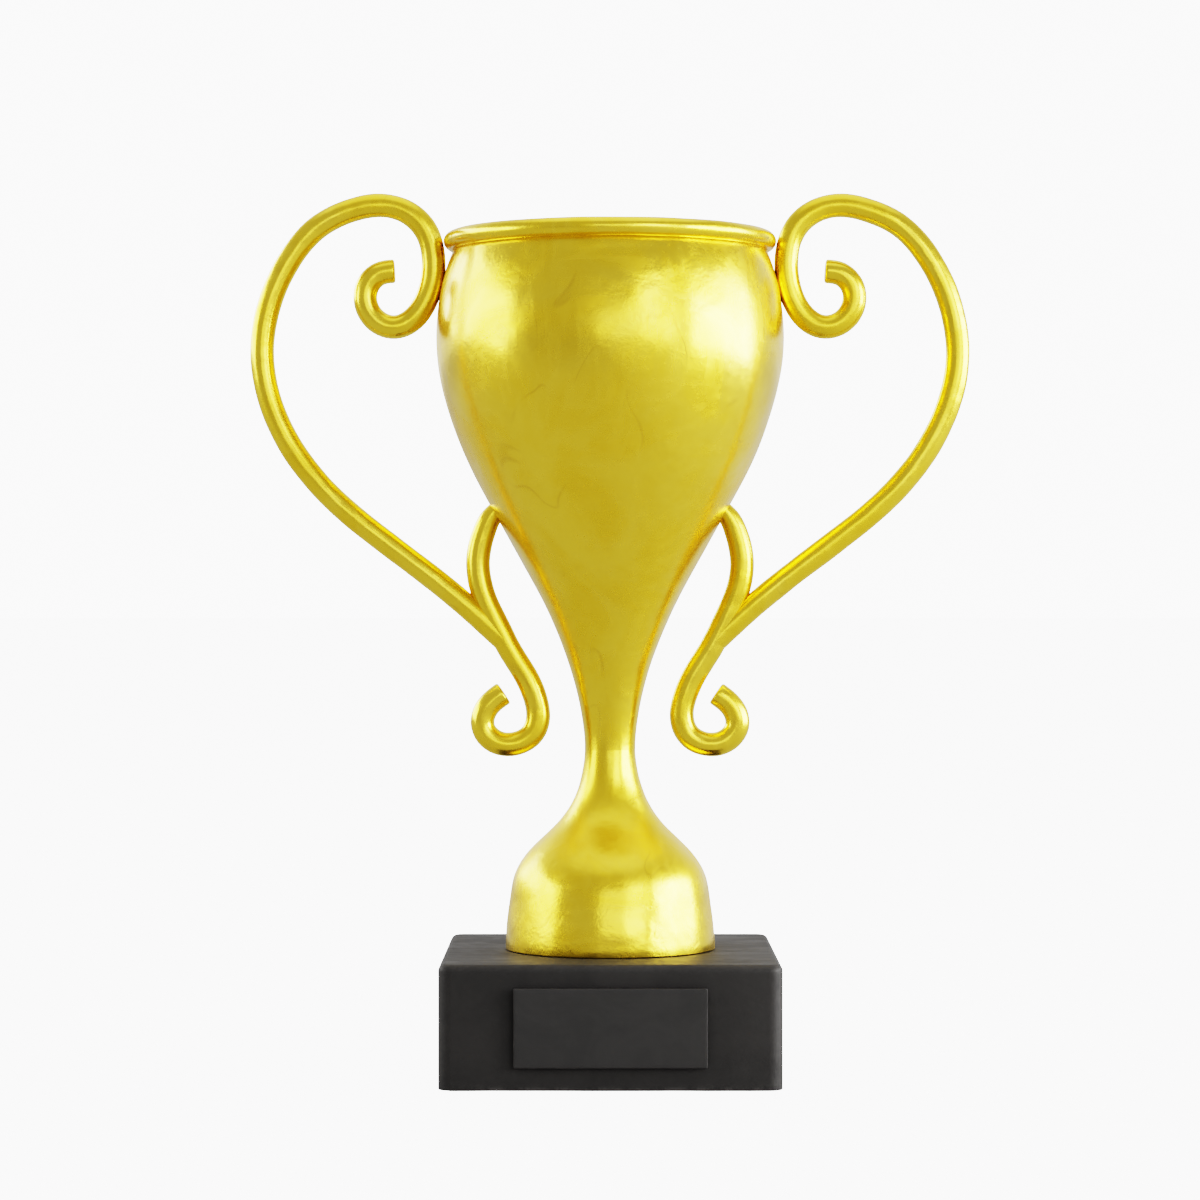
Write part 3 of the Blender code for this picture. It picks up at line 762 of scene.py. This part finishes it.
def make_foot(gold):
    """The bell foot, down to a rounded edge that rests on the plinth a little unevenly."""
    bottom = cad_box("plinth_block")[1].z + 0.03
    outside = outline_between(FOOT_OUTLINE[0][1], NECK_SEAM[1], FOOT_SPACING)
    edge = arc((outside[0, 0] - FOOT_EDGE, bottom + FOOT_EDGE), FOOT_EDGE, -90, 0, 6)
    inside = moved_inwards(outside, WALL)
    inside[-1, 1] = NECK_SEAM[1]
    flange_top = bottom + WALL
    corner_centre = (inside[0, 0] - FLANGE_CORNER, flange_top + FLANGE_CORNER)
    corner = arc(corner_centre, FLANGE_CORNER, -90, 0, 3)
    flange = [(FLANGE_RADIUS, flange_top), (FLANGE_RADIUS, bottom)]
    bm = spun(np.vstack((edge, outside, inside[::-1], corner[::-1], flange)), FOOT_SIDES)
    hand_wobble(bm, wavelength=17.0, depth=0.22, shift=1.0)
    hand_wobble(bm, wavelength=5.0, depth=0.05, shift=7.0)
    for vert in bm.verts:
        near_edge = max(0.0, 1.0 - (vert.co.z - bottom) / 3.0)
        vert.co.z += near_edge * 0.06 * (1.0 + noise.noise(vert.co / 6.0))
    finished("spun_foot", bm, gold, ["foot_bell"], 40.0)


# ---------------------------------------------------------------- handles

def trimmed_at(line, angles, is_outside):
    """Distance along a rod at which each line of its skin meets what it is brazed to."""
    samples = np.arange(line.length - TRIM_REACH, line.length + TRIM_REACH / 2, 0.1)
    distance, angle = np.meshgrid(samples, angles, indexing="ij")
    outside = is_outside(line.surface(distance, angle, ROD_RADIUS)) > 0.0
    last = outside.cumprod(axis=0).sum(axis=0)
    return samples[np.clip(last, 0, len(samples) - 1)]


def dressed(bm):
    """Grinds a branch's long feather edge back along the bowl, to a short blunt end."""
    for vert in bm.verts:
        above = vert.co.z - BRANCH_DRESSED_ABOVE
        if above > 0.0:
            height = vert.co.z - BRANCH_DRESSING * above ** 2
            vert.co.x -= wall_radius(vert.co.z) - wall_radius(height)
            vert.co.z = height


def bent_rod(name, node, knots, side, is_outside, gold, shift, dress=None):
    """A bent rod with a cut and eased tip, its other end fitted to what it is brazed to."""
    line = Centreline(knots)
    angles = np.arange(ROD_SIDES) * tau / ROD_SIDES
    fitted_from = line.length - FITTED_LENGTH
    face_radius = ROD_RADIUS - TIP_EDGE
    tip = [(bulge, share * face_radius) for share, bulge in TIP_FACE]
    tip += arc((TIP_EDGE, face_radius), TIP_EDGE, 180, 90, 5)
    tip += [(distance, ROD_RADIUS)
            for distance in np.arange(TIP_EDGE + ROD_SPACING, fitted_from, ROD_SPACING)]
    rings = [line.surface(np.full(ROD_SIDES, distance), angles, radius) for distance, radius in tip]
    meets = trimmed_at(line, angles, is_outside)
    for share in np.linspace(0.0, 1.0, FITTED_RINGS):
        distance = fitted_from + share * (meets - fitted_from)
        rings.append(line.surface(distance, angles, ROD_RADIUS))
    bm = skin(rings, closed=False)
    hand_wobble(bm, wavelength=11.0, depth=0.13, shift=shift)
    hand_wobble(bm, wavelength=3.4, depth=0.035, shift=shift + 3.0)
    if dress:
        dress(bm)
    bmesh.ops.scale(bm, vec=(side, 1.0, 1.0), verts=bm.verts)
    finished(name, bm, gold, [node], 50.0)


def make_handle(place, side, gold):
    """One handle, built on the right and mirrored to its own side."""
    branch = Centreline(BRANCH_ROUTE)

    def outside_bowl(points):
        radius = np.hypot(points[..., 0], points[..., 1])
        return radius - wall_radius(points[..., 2]) + BRAZE_DEPTH

    def outside_branch(points):
        beyond = branch.outside_by(points[..., [0, 2]])
        half = np.sqrt(np.clip((ROD_RADIUS - 0.1) ** 2 - points[..., 1] ** 2, 0.0, None))
        return beyond - half

    bent_rod(f"branch_rod_{place}", f"handle_branch_{place}", BRANCH_ROUTE[::-1], side,
             outside_bowl, gold, 4.0 + side, dressed)
    bent_rod(f"scroll_rod_{place}", f"handle_scroll_{place}", SCROLL_ROUTE, side,
             outside_branch, gold, 9.0 + side)


# ---------------------------------------------------------------- threads, nuts, washers

def thread_rings(radius, pitch, low, high, sides):
    """Rings of a single-start V thread between two heights, faded out at both ends."""
    angles = np.arange(sides) * tau / sides
    rings = []
    for height in np.arange(low, high, pitch / THREAD_STEPS):
        turn = (height / pitch - angles / tau) % 1.0
        groove = 1.0 - np.clip(2.4 * np.abs(turn - 0.5) - 0.12, 0.0, 1.0)
        fade = min(1.0, (height - low) / pitch, (high - height) / pitch)
        rings.append(round_ring(radius - THREAD_DEPTH * pitch * fade * groove, height, sides))
    return rings


def hex_rings(bottom, top, sides):
    """A hexagon with its corners chamfered at both ends, as rings going up the outside."""
    angles = np.arange(sides) * tau / sides
    reach = HEX_FLATS / 2 / np.cos((angles + pi / 6) % (pi / 3) - pi / 6)
    flat_radius = 0.96 * HEX_FLATS / 2
    fall = np.maximum(0.0, reach - flat_radius) * tan(radians(HEX_CHAMFER))
    return turned([(flat_radius, bottom), (reach, bottom + fall), (reach, top - fall),
                   (flat_radius, top)], sides)


def make_washer(name, node, inner, finish):
    """A punched washer, rounded on its upper edge and square on its lower one."""
    low, high = cad_box(node)
    outer = (high.x - low.x) / 2
    eased = 0.3
    section = [(inner, low.z), (outer - 0.08, low.z), (outer, low.z + 0.08)]
    section += arc((outer - eased, high.z - eased), eased, 0, 90, 4)
    section += [(inner + 0.15, high.z), (inner, high.z - 0.15)]
    finished(name, spun(section, 64), finish, [node])


def make_spring_washer(steel):
    """A ring of square wire with a slanted split, one end a little lower."""
    low, high = cad_box("spring_washer")
    outer = 5.6
    lift = 0.3
    slant = 0.05
    wire = np.array(rounded_rectangle(outer - TIE_ROD_HOLE, high.z - low.z - lift, 0.25, 2, 1))
    middle = (outer + TIE_ROD_HOLE) / 2
    rings = []
    for share in np.linspace(0.0, 1.0, 60):
        centre_height = (low.z + high.z) / 2 + lift * (share - 0.5)
        row = []
        for across, up in wire:
            angle = radians(5.0 + 350.0 * share) + slant * up
            radius = middle + across
            row.append((radius * cos(angle), radius * sin(angle), centre_height + up))
        rings.append(row)
    finished("split_washer", skin(rings, closed=False), steel, ["spring_washer"])


def make_nut(steel):
    low, high = cad_box("plinth_nut")
    eased = 0.5
    rings = turned([(NUT_HOLE, low.z + eased), (NUT_HOLE + eased, low.z)], NUT_SIDES)
    rings += hex_rings(low.z, high.z, NUT_SIDES)
    rings += turned([(NUT_HOLE + eased, high.z), (NUT_HOLE, high.z - eased)], NUT_SIDES)
    finished("hex_nut", skin(rings), steel, ["plinth_nut"], 25.0)


def make_cap_nut(brass):
    """A domed nut with a blind hole, which closes the top of the tie rod."""
    low, high = cad_box("bowl_cap_nut")
    eased = 0.5
    hex_top = low.z + 5.0
    dome_bottom = hex_top + 0.8
    dome_radius = 4.75
    blind_hole = [(0.3, low.z + 8.7), (NUT_HOLE, low.z + 8.3), (NUT_HOLE, low.z + eased),
                  (NUT_HOLE + eased, low.z)]
    dome = [(dome_radius * cos(angle), dome_bottom + (high.z - dome_bottom) * sin(angle))
            for angle in np.radians(np.linspace(0, 84, 12))]
    rings = turned(blind_hole, NUT_SIDES) + hex_rings(low.z, hex_top, NUT_SIDES)
    rings += turned(dome, NUT_SIDES)
    finished("domed_nut", skin(rings, closed=False), brass, ["bowl_cap_nut"], 25.0)


def make_tie_rod(steel):
    low, high = cad_box("tie_rod")
    sides = 28
    radius, chamfer = TIE_ROD_RADIUS, TIE_ROD_CHAMFER
    thread_top = low.z + LOWER_THREAD
    thread_bottom = high.z - UPPER_THREAD
    rings = turned([(radius - chamfer, low.z), (radius, low.z + chamfer)], sides)
    rings += thread_rings(radius, TIE_ROD_PITCH, low.z + 0.7, thread_top, sides)
    rings += turned([(radius - 0.02, z) for z in np.linspace(thread_top, thread_bottom, 12)], sides)
    rings += thread_rings(radius, TIE_ROD_PITCH, thread_bottom + 0.2, high.z - 0.7, sides)
    rings += turned([(radius, high.z - chamfer), (radius - chamfer, high.z)], sides)
    finished("threaded_rod", skin(rings, closed=False), steel, ["tie_rod"], 45.0)


def make_tube(name, node, inner, finish):
    """A short turned tube or disc with its edges eased."""
    low, high = cad_box(node)
    outer = (high.x - low.x) / 2
    eased = 0.35
    inner_eased = 0.2
    section = [(inner + inner_eased, low.z), (outer - eased, low.z)]
    section += arc((outer - eased, low.z + eased), eased, -90, 0, 3)[1:]
    section += [(outer, z) for z in np.linspace(low.z + eased, high.z - eased, 8)[1:-1]]
    section += arc((outer - eased, high.z - eased), eased, 0, 90, 3)
    section += [(inner + inner_eased, high.z), (inner, high.z - inner_eased),
                (inner, low.z + inner_eased)]
    finished(name, spun(section, 72), finish, [node])


def make_cone_seat(brass):
    """A turned cone that fills the bowl's taper, with two grooves around it."""
    low, high = cad_box("bowl_cone_seat")
    side = []
    for share in np.linspace(0.03, 0.97, 30):
        height = low.z + share * (high.z - low.z)
        groove = 0.25 if min(abs(share - 0.35), abs(share - 0.68)) < 0.03 else 0.0
        side.append((wall_radius(height) - WALL - 0.32 - groove, height))
    eased = 0.2
    section = [(TIE_ROD_HOLE, low.z), (side[0][0] - eased, low.z)] + side
    section += [(side[-1][0] - eased, high.z), (TIE_ROD_HOLE, high.z)]
    finished("cone_seat", spun(section, 96), brass, ["bowl_cone_seat"])


def make_screw_and_washer(where, place, side, height, steel, brass):
    """A slotted pan-head screw driven from inside the bowl, on its flat washer."""
    point, outward = wall_point(side, height)
    hole = SCREW_RADIUS + 0.2
    eased = 0.15
    washer_top = -WALL - WASHER_SEAT + 0.1
    seat = washer_top - SCREW_WASHER_THICKNESS
    section = [(hole, washer_top), (SCREW_WASHER_RADIUS, washer_top)]
    section += arc((SCREW_WASHER_RADIUS - eased, seat + eased), eased, 0, -90, 3)
    section += [(hole, seat)]
    washer = turn_to(spun(section, 48), point, outward)
    finished(f"{where}_flat_washer_{place}", washer, brass,
             [f"{where}_washer_{place}"])

    sides = 28
    chamfer = 0.4
    crown = seat - SCREW_HEAD_HEIGHT
    crown_round = 1.15
    point_end = [(SCREW_RADIUS - chamfer, SCREW_GRIP), (SCREW_RADIUS, SCREW_GRIP - chamfer)]
    head = [(SCREW_RADIUS, seat), (SCREW_HEAD_RADIUS - 0.1, seat), (SCREW_HEAD_RADIUS, seat - 0.1)]
    head += [(SCREW_HEAD_RADIUS - crown_round * (1.0 - cos(angle)), seat - 0.75 - 1.1 * sin(angle))
             for angle in np.radians(np.linspace(0, 82, 9))]
    head.append((0.8, crown + 0.05))
    rings = turned(point_end, sides)
    rings += thread_rings(SCREW_RADIUS, SCREW_PITCH, seat + 0.1, SCREW_GRIP - 0.5, sides)[::-1]
    rings += turned(head, sides)
    bm = turn_to(skin(rings, closed=False), point, outward)
    screw = finished(f"{where}_pan_screw_{place}", bm, steel,
                     [f"{where}_screw_{place}"], 40.0)
    cut_slot(screw, point + outward * crown, outward)


def cut_slot(screw, crown, outward):
    """Cuts a screwdriver's slot across the head."""
    blade = bmesh.new()
    bmesh.ops.create_cube(blade, size=1.0)
    bmesh.ops.scale(blade, vec=SCREW_SLOT, verts=blade.verts)
    turn_to(blade, crown, outward)
    bmesh.ops.scale(blade, vec=(MM, MM, MM), verts=blade.verts)
    tool = in_scene("slot_blade", mesh_from("slot_blade", blade))
    cut = screw.modifiers.new("slot", "BOOLEAN")
    cut.operation = "DIFFERENCE"
    cut.solver = "EXACT"
    cut.object = tool
    evaluated = screw.evaluated_get(bpy.context.evaluated_depsgraph_get())
    screw.data = bpy.data.meshes.new_from_object(evaluated)
    screw.modifiers.clear()
    bpy.data.objects.remove(tool, do_unlink=True)


# ---------------------------------------------------------------- plinth, plate and felt

def make_plinth(lacquer):
    """The block, with the recesses for its felt and its nut underneath."""
    low, high = cad_box("plinth_block")
    side = high.x - low.x

    def square(inset, height):
        size = side - 2 * inset
        return rounded_rectangle(size, size, max(PLINTH_CORNER - inset, 0.6)), height

    guide = square(0.0, 0.0)[0]
    recess = rounded_rectangle(FELT_RECESS_SIDE, FELT_RECESS_SIDE, 2.0)
    nut_recess = circle_facing(guide, NUT_RECESS_RADIUS)
    rod_hole = circle_facing(guide, TIE_ROD_HOLE)
    ceiling = low.z + FELT_RECESS_DEPTH
    nut_ceiling = low.z + NUT_RECESS_DEPTH
    top, bottom = PLINTH_TOP_EDGE, PLINTH_BOTTOM_EDGE
    steps = [(rod_hole, high.z), (circle_facing(guide, 30.0), high.z), square(top + 0.8, high.z)]
    steps += [square(*point) for point in arc((top, high.z - top), top, 90, 180, 7)]
    steps += [square(0.0, height) for height in np.linspace(high.z - top - 0.8, low.z + 1.2, 16)]
    steps += [square(*point) for point in arc((bottom, low.z + bottom), bottom, 180, 270, 3)]
    steps += [(recess, low.z), (recess, ceiling), (nut_recess, ceiling), (nut_recess, nut_ceiling),
              (rod_hole, nut_ceiling)]
    finished("lacquered_block", skin(levels(steps)), lacquer, ["plinth_block"],
             32.0)


def facing_front(bm, centre_height):
    """Turns a mesh made along local Z to face -Y, its X kept and its Y going up."""
    turn = Matrix(((1, 0, 0, 0), (0, 0, -1, 0), (0, 1, 0, centre_height), (0, 0, 0, 1)))
    bmesh.ops.transform(bm, matrix=turn, verts=bm.verts)
    return bm


def make_nameplate(anodised, tape):
    """A blank plate with eased front edges, on foam tape that fills the gap behind it."""
    low, high = cad_box("nameplate")
    plinth_front = -cad_box("plinth_block")[0].y
    width, height = high.x - low.x, high.z - low.z
    back, front = -high.y, -low.y
    centre = (low.z + high.z) / 2

    def outline(inset):
        return rounded_rectangle(width - 2 * inset, height - 2 * inset, PLATE_CORNER)

    steps = [(outline(0.0), back), (outline(0.0), back + 0.3)]
    steps += [(outline(inset), depth)
              for inset, depth in arc((PLATE_EDGE, front - PLATE_EDGE), PLATE_EDGE, 180, 90, 4)]
    steps.append((outline(1.0), front))
    plate = facing_front(skin(levels(steps), closed=False), centre)
    finished("front_plate", plate, anodised, ["nameplate"], 40.0)

    low, high = cad_box("nameplate_tape")
    width, height = high.x - low.x, high.z - low.z
    steps = []
    for share, bulge in ((0.0, 0.0), (0.2, 0.15), (0.5, 0.25), (0.8, 0.15), (1.0, 0.0)):
        edge = rounded_rectangle(width + 2 * bulge, height + 2 * bulge, 1.0)
        steps.append((edge, plinth_front + share * (back - plinth_front)))
    strip = facing_front(skin(levels(steps), closed=False), centre)
    finished("foam_strip", strip, tape, ["nameplate_tape"], 60.0)


def make_felt(felt):
    """A felt pad with a round window for the nut, its faces a little uneven."""
    low, high = cad_box("felt_pad")
    side = high.x - low.x
    outer = rounded_rectangle(side, side, 1.5, 6, 16)
    window = circle_facing(outer, NUT_RECESS_RADIUS + 1.0)
    shares = np.linspace(0.0, 1.0, 18)
    steps = [(outer + share * (window - outer), high.z + 0.25) for share in shares]
    steps += [(outer + share * (window - outer), low.z + 0.02) for share in shares[::-1]]
    bm = skin(levels(steps))
    for vert in bm.verts:
        if vert.co.z < high.z / 2:
            vert.co.z += 0.06 * (1.0 + noise.noise(vert.co / 3.0))
    finished("felt_base", bm, felt, ["felt_pad"], 50.0)


# ---------------------------------------------------------------- stage

WHITE = (1.0, 1.0, 1.0, 1.0)
BACKGROUND = 3.75               # what the camera sees behind the trophy
TABLE_GLOW = 0.27
ROOM = 0.45
OVERHEAD = 0.75                 # more than the room's level, straight above
BEHIND = 0.40                   # more than the room's level, behind the trophy
PANELS = [
    # name, degrees around from the front, distance, bottom, top, width, glow, lean in degrees
    ("right panel", 81.0, 1.60, 0.04, 0.72, 1.63, 8.0, 0.0),
    ("upper right panel", 79.0, 1.60, 0.72, 0.98, 1.50, 3.0, 0.0),
    ("left panel", -104.0, 2.00, 0.28, 1.24, 3.10, 2.85, -10.0),
    ("front patch", 31.0, 1.60, 0.18, 0.92, 0.74, 2.5, 0.0),
    ("dim front patch", 3.0, 1.60, 0.19, 0.64, 0.78, 1.0, 0.0),
]
CAMERA_PLACE = (-0.00333, -1.2, 0.15668)
CAMERA_LENS = 108.0


def make_world():
    """An even white room, brighter overhead and behind."""
    world = bpy.data.worlds.new("studio")
    bpy.context.scene.world = world
    world.use_nodes = True
    tree = world.node_tree
    tree.nodes.clear()
    way = shader_node(tree, "TexCoord").outputs["Generated"]
    parts = shader_node(tree, "SeparateXYZ", {0: way}).outputs
    level = spread(tree, parts["Z"], 0.76, 0.92, ROOM, ROOM + OVERHEAD)
    level = plus(tree, level, spread(tree, parts["Y"], 0.1, 0.8, 0.0, BEHIND))
    room = shader_node(tree, "Background", {"Color": WHITE, "Strength": level})
    backdrop = shader_node(tree, "Background", {"Color": WHITE, "Strength": BACKGROUND})
    seen = shader_node(tree, "LightPath").outputs["Is Camera Ray"]
    mixed = shader_node(tree, "MixShader", {0: seen, 1: room.outputs[0], 2: backdrop.outputs[0]})
    out = tree.nodes.new("ShaderNodeOutputWorld")
    tree.links.new(mixed.outputs[0], out.inputs["Surface"])


def make_floor():
    """A plain pale table top, lit through from below like an acrylic sheet."""
    bm = bmesh.new()
    bmesh.ops.create_grid(bm, x_segments=2, y_segments=2, size=30.0)
    mesh = mesh_from("table_top", bm)
    floor = in_scene("table_top", mesh)
    finish = bpy.data.materials.new("pale acrylic")
    finish.use_nodes = True
    tree = finish.node_tree
    tree.nodes.clear()
    matt = shader_node(tree, "BsdfDiffuse", {"Color": (0.20, 0.20, 0.20, 1.0)})
    seen = shader_node(tree, "LightPath").outputs["Is Camera Ray"]
    place = shader_node(tree, "TexCoord").outputs["Object"]
    parts = shader_node(tree, "SeparateXYZ", {0: place}).outputs
    to_right = spread(tree, parts["X"], -0.05, 0.5, 0.0, 0.65 * TABLE_GLOW)
    to_front = spread(tree, parts["Y"], -1.2, -0.2, -0.25 * TABLE_GLOW, 0.0)
    glow = plus(tree, plus(tree, to_right, to_front), TABLE_GLOW)
    level = maths(tree, "MAXIMUM", times(tree, seen, BACKGROUND - 0.5), glow)
    lit = shader_node(tree, "Emission", {"Color": WHITE, "Strength": level})
    both = shader_node(tree, "AddShader", {0: matt.outputs[0], 1: lit.outputs[0]})
    out = tree.nodes.new("ShaderNodeOutputMaterial")
    tree.links.new(both.outputs[0], out.inputs["Surface"])
    mesh.materials.append(finish)


def softbox(name, around, distance, bottom, top, width, glow, lean):
    """A soft panel light that faces the trophy. Its glow is the same whatever its size."""
    lamp = bpy.data.lights.new(name, "AREA")
    lamp.shape = "RECTANGLE"
    lamp.size = width
    lamp.size_y = top - bottom
    lamp.energy = 4.0 * glow * width * (top - bottom)
    panel = in_scene(name, lamp)
    angle = radians(around)
    panel.location = (distance * sin(angle), -distance * cos(angle), (bottom + top) / 2)
    upright = Matrix.Rotation(angle, 4, "Z") @ Matrix.Rotation(radians(90.0), 4, "X")
    panel.rotation_euler = (upright @ Matrix.Rotation(radians(lean), 4, "Z")).to_euler()
    panel.visible_camera = False


def make_camera():
    camera = bpy.data.cameras.new("front")
    camera.lens = CAMERA_LENS
    camera.sensor_width = 36.0
    camera.clip_end = 100.0
    view = in_scene("front", camera)
    view.location = CAMERA_PLACE
    view.rotation_euler = (radians(90.0), 0.0, 0.0)
    bpy.context.scene.camera = view


def make_stage():
    make_world()
    make_floor()
    for panel in PANELS:
        softbox(*panel)
    make_camera()
    view = bpy.context.scene.view_settings
    view.view_transform = "Filmic"
    view.look = "Very High Contrast"


# ---------------------------------------------------------------- assembly

def build_looks():
    gold = gilded_metal("gilded metal", wear=1.0)
    rod_gold = gilded_metal("gilded rod", wear=0.35)
    brass = turned_brass()
    steel = zinc_plate()

    make_bowl(gold, satin_gold())
    make_bead(gold)
    make_foot(gold)
    for place, side in (("left", -1), ("right", 1)):
        make_handle(place, side, rod_gold)
        for where, height in (("upper", UPPER_SCREW_HEIGHT), ("lower", LOWER_SCREW_HEIGHT)):
            make_screw_and_washer(where, place, side, height, steel, brass)

    make_tie_rod(steel)
    make_nut(steel)
    make_spring_washer(steel)
    make_washer("broad_washer", "plinth_washer", TIE_ROD_HOLE, steel)
    make_washer("small_washer", "bowl_washer", TIE_ROD_HOLE, steel)
    make_tube("spacer", "spacer_tube", TIE_ROD_HOLE, steel)
    make_tube("sleeve", "neck_sleeve", TIE_ROD_HOLE, brass)
    make_tube("board_disc", "foot_disc", TIE_ROD_HOLE, fibreboard())
    make_cone_seat(brass)
    make_cap_nut(brass)

    make_plinth(black_lacquer())
    make_nameplate(black_anodised(), foam())
    make_felt(pressed_felt())


build_looks()
make_stage()
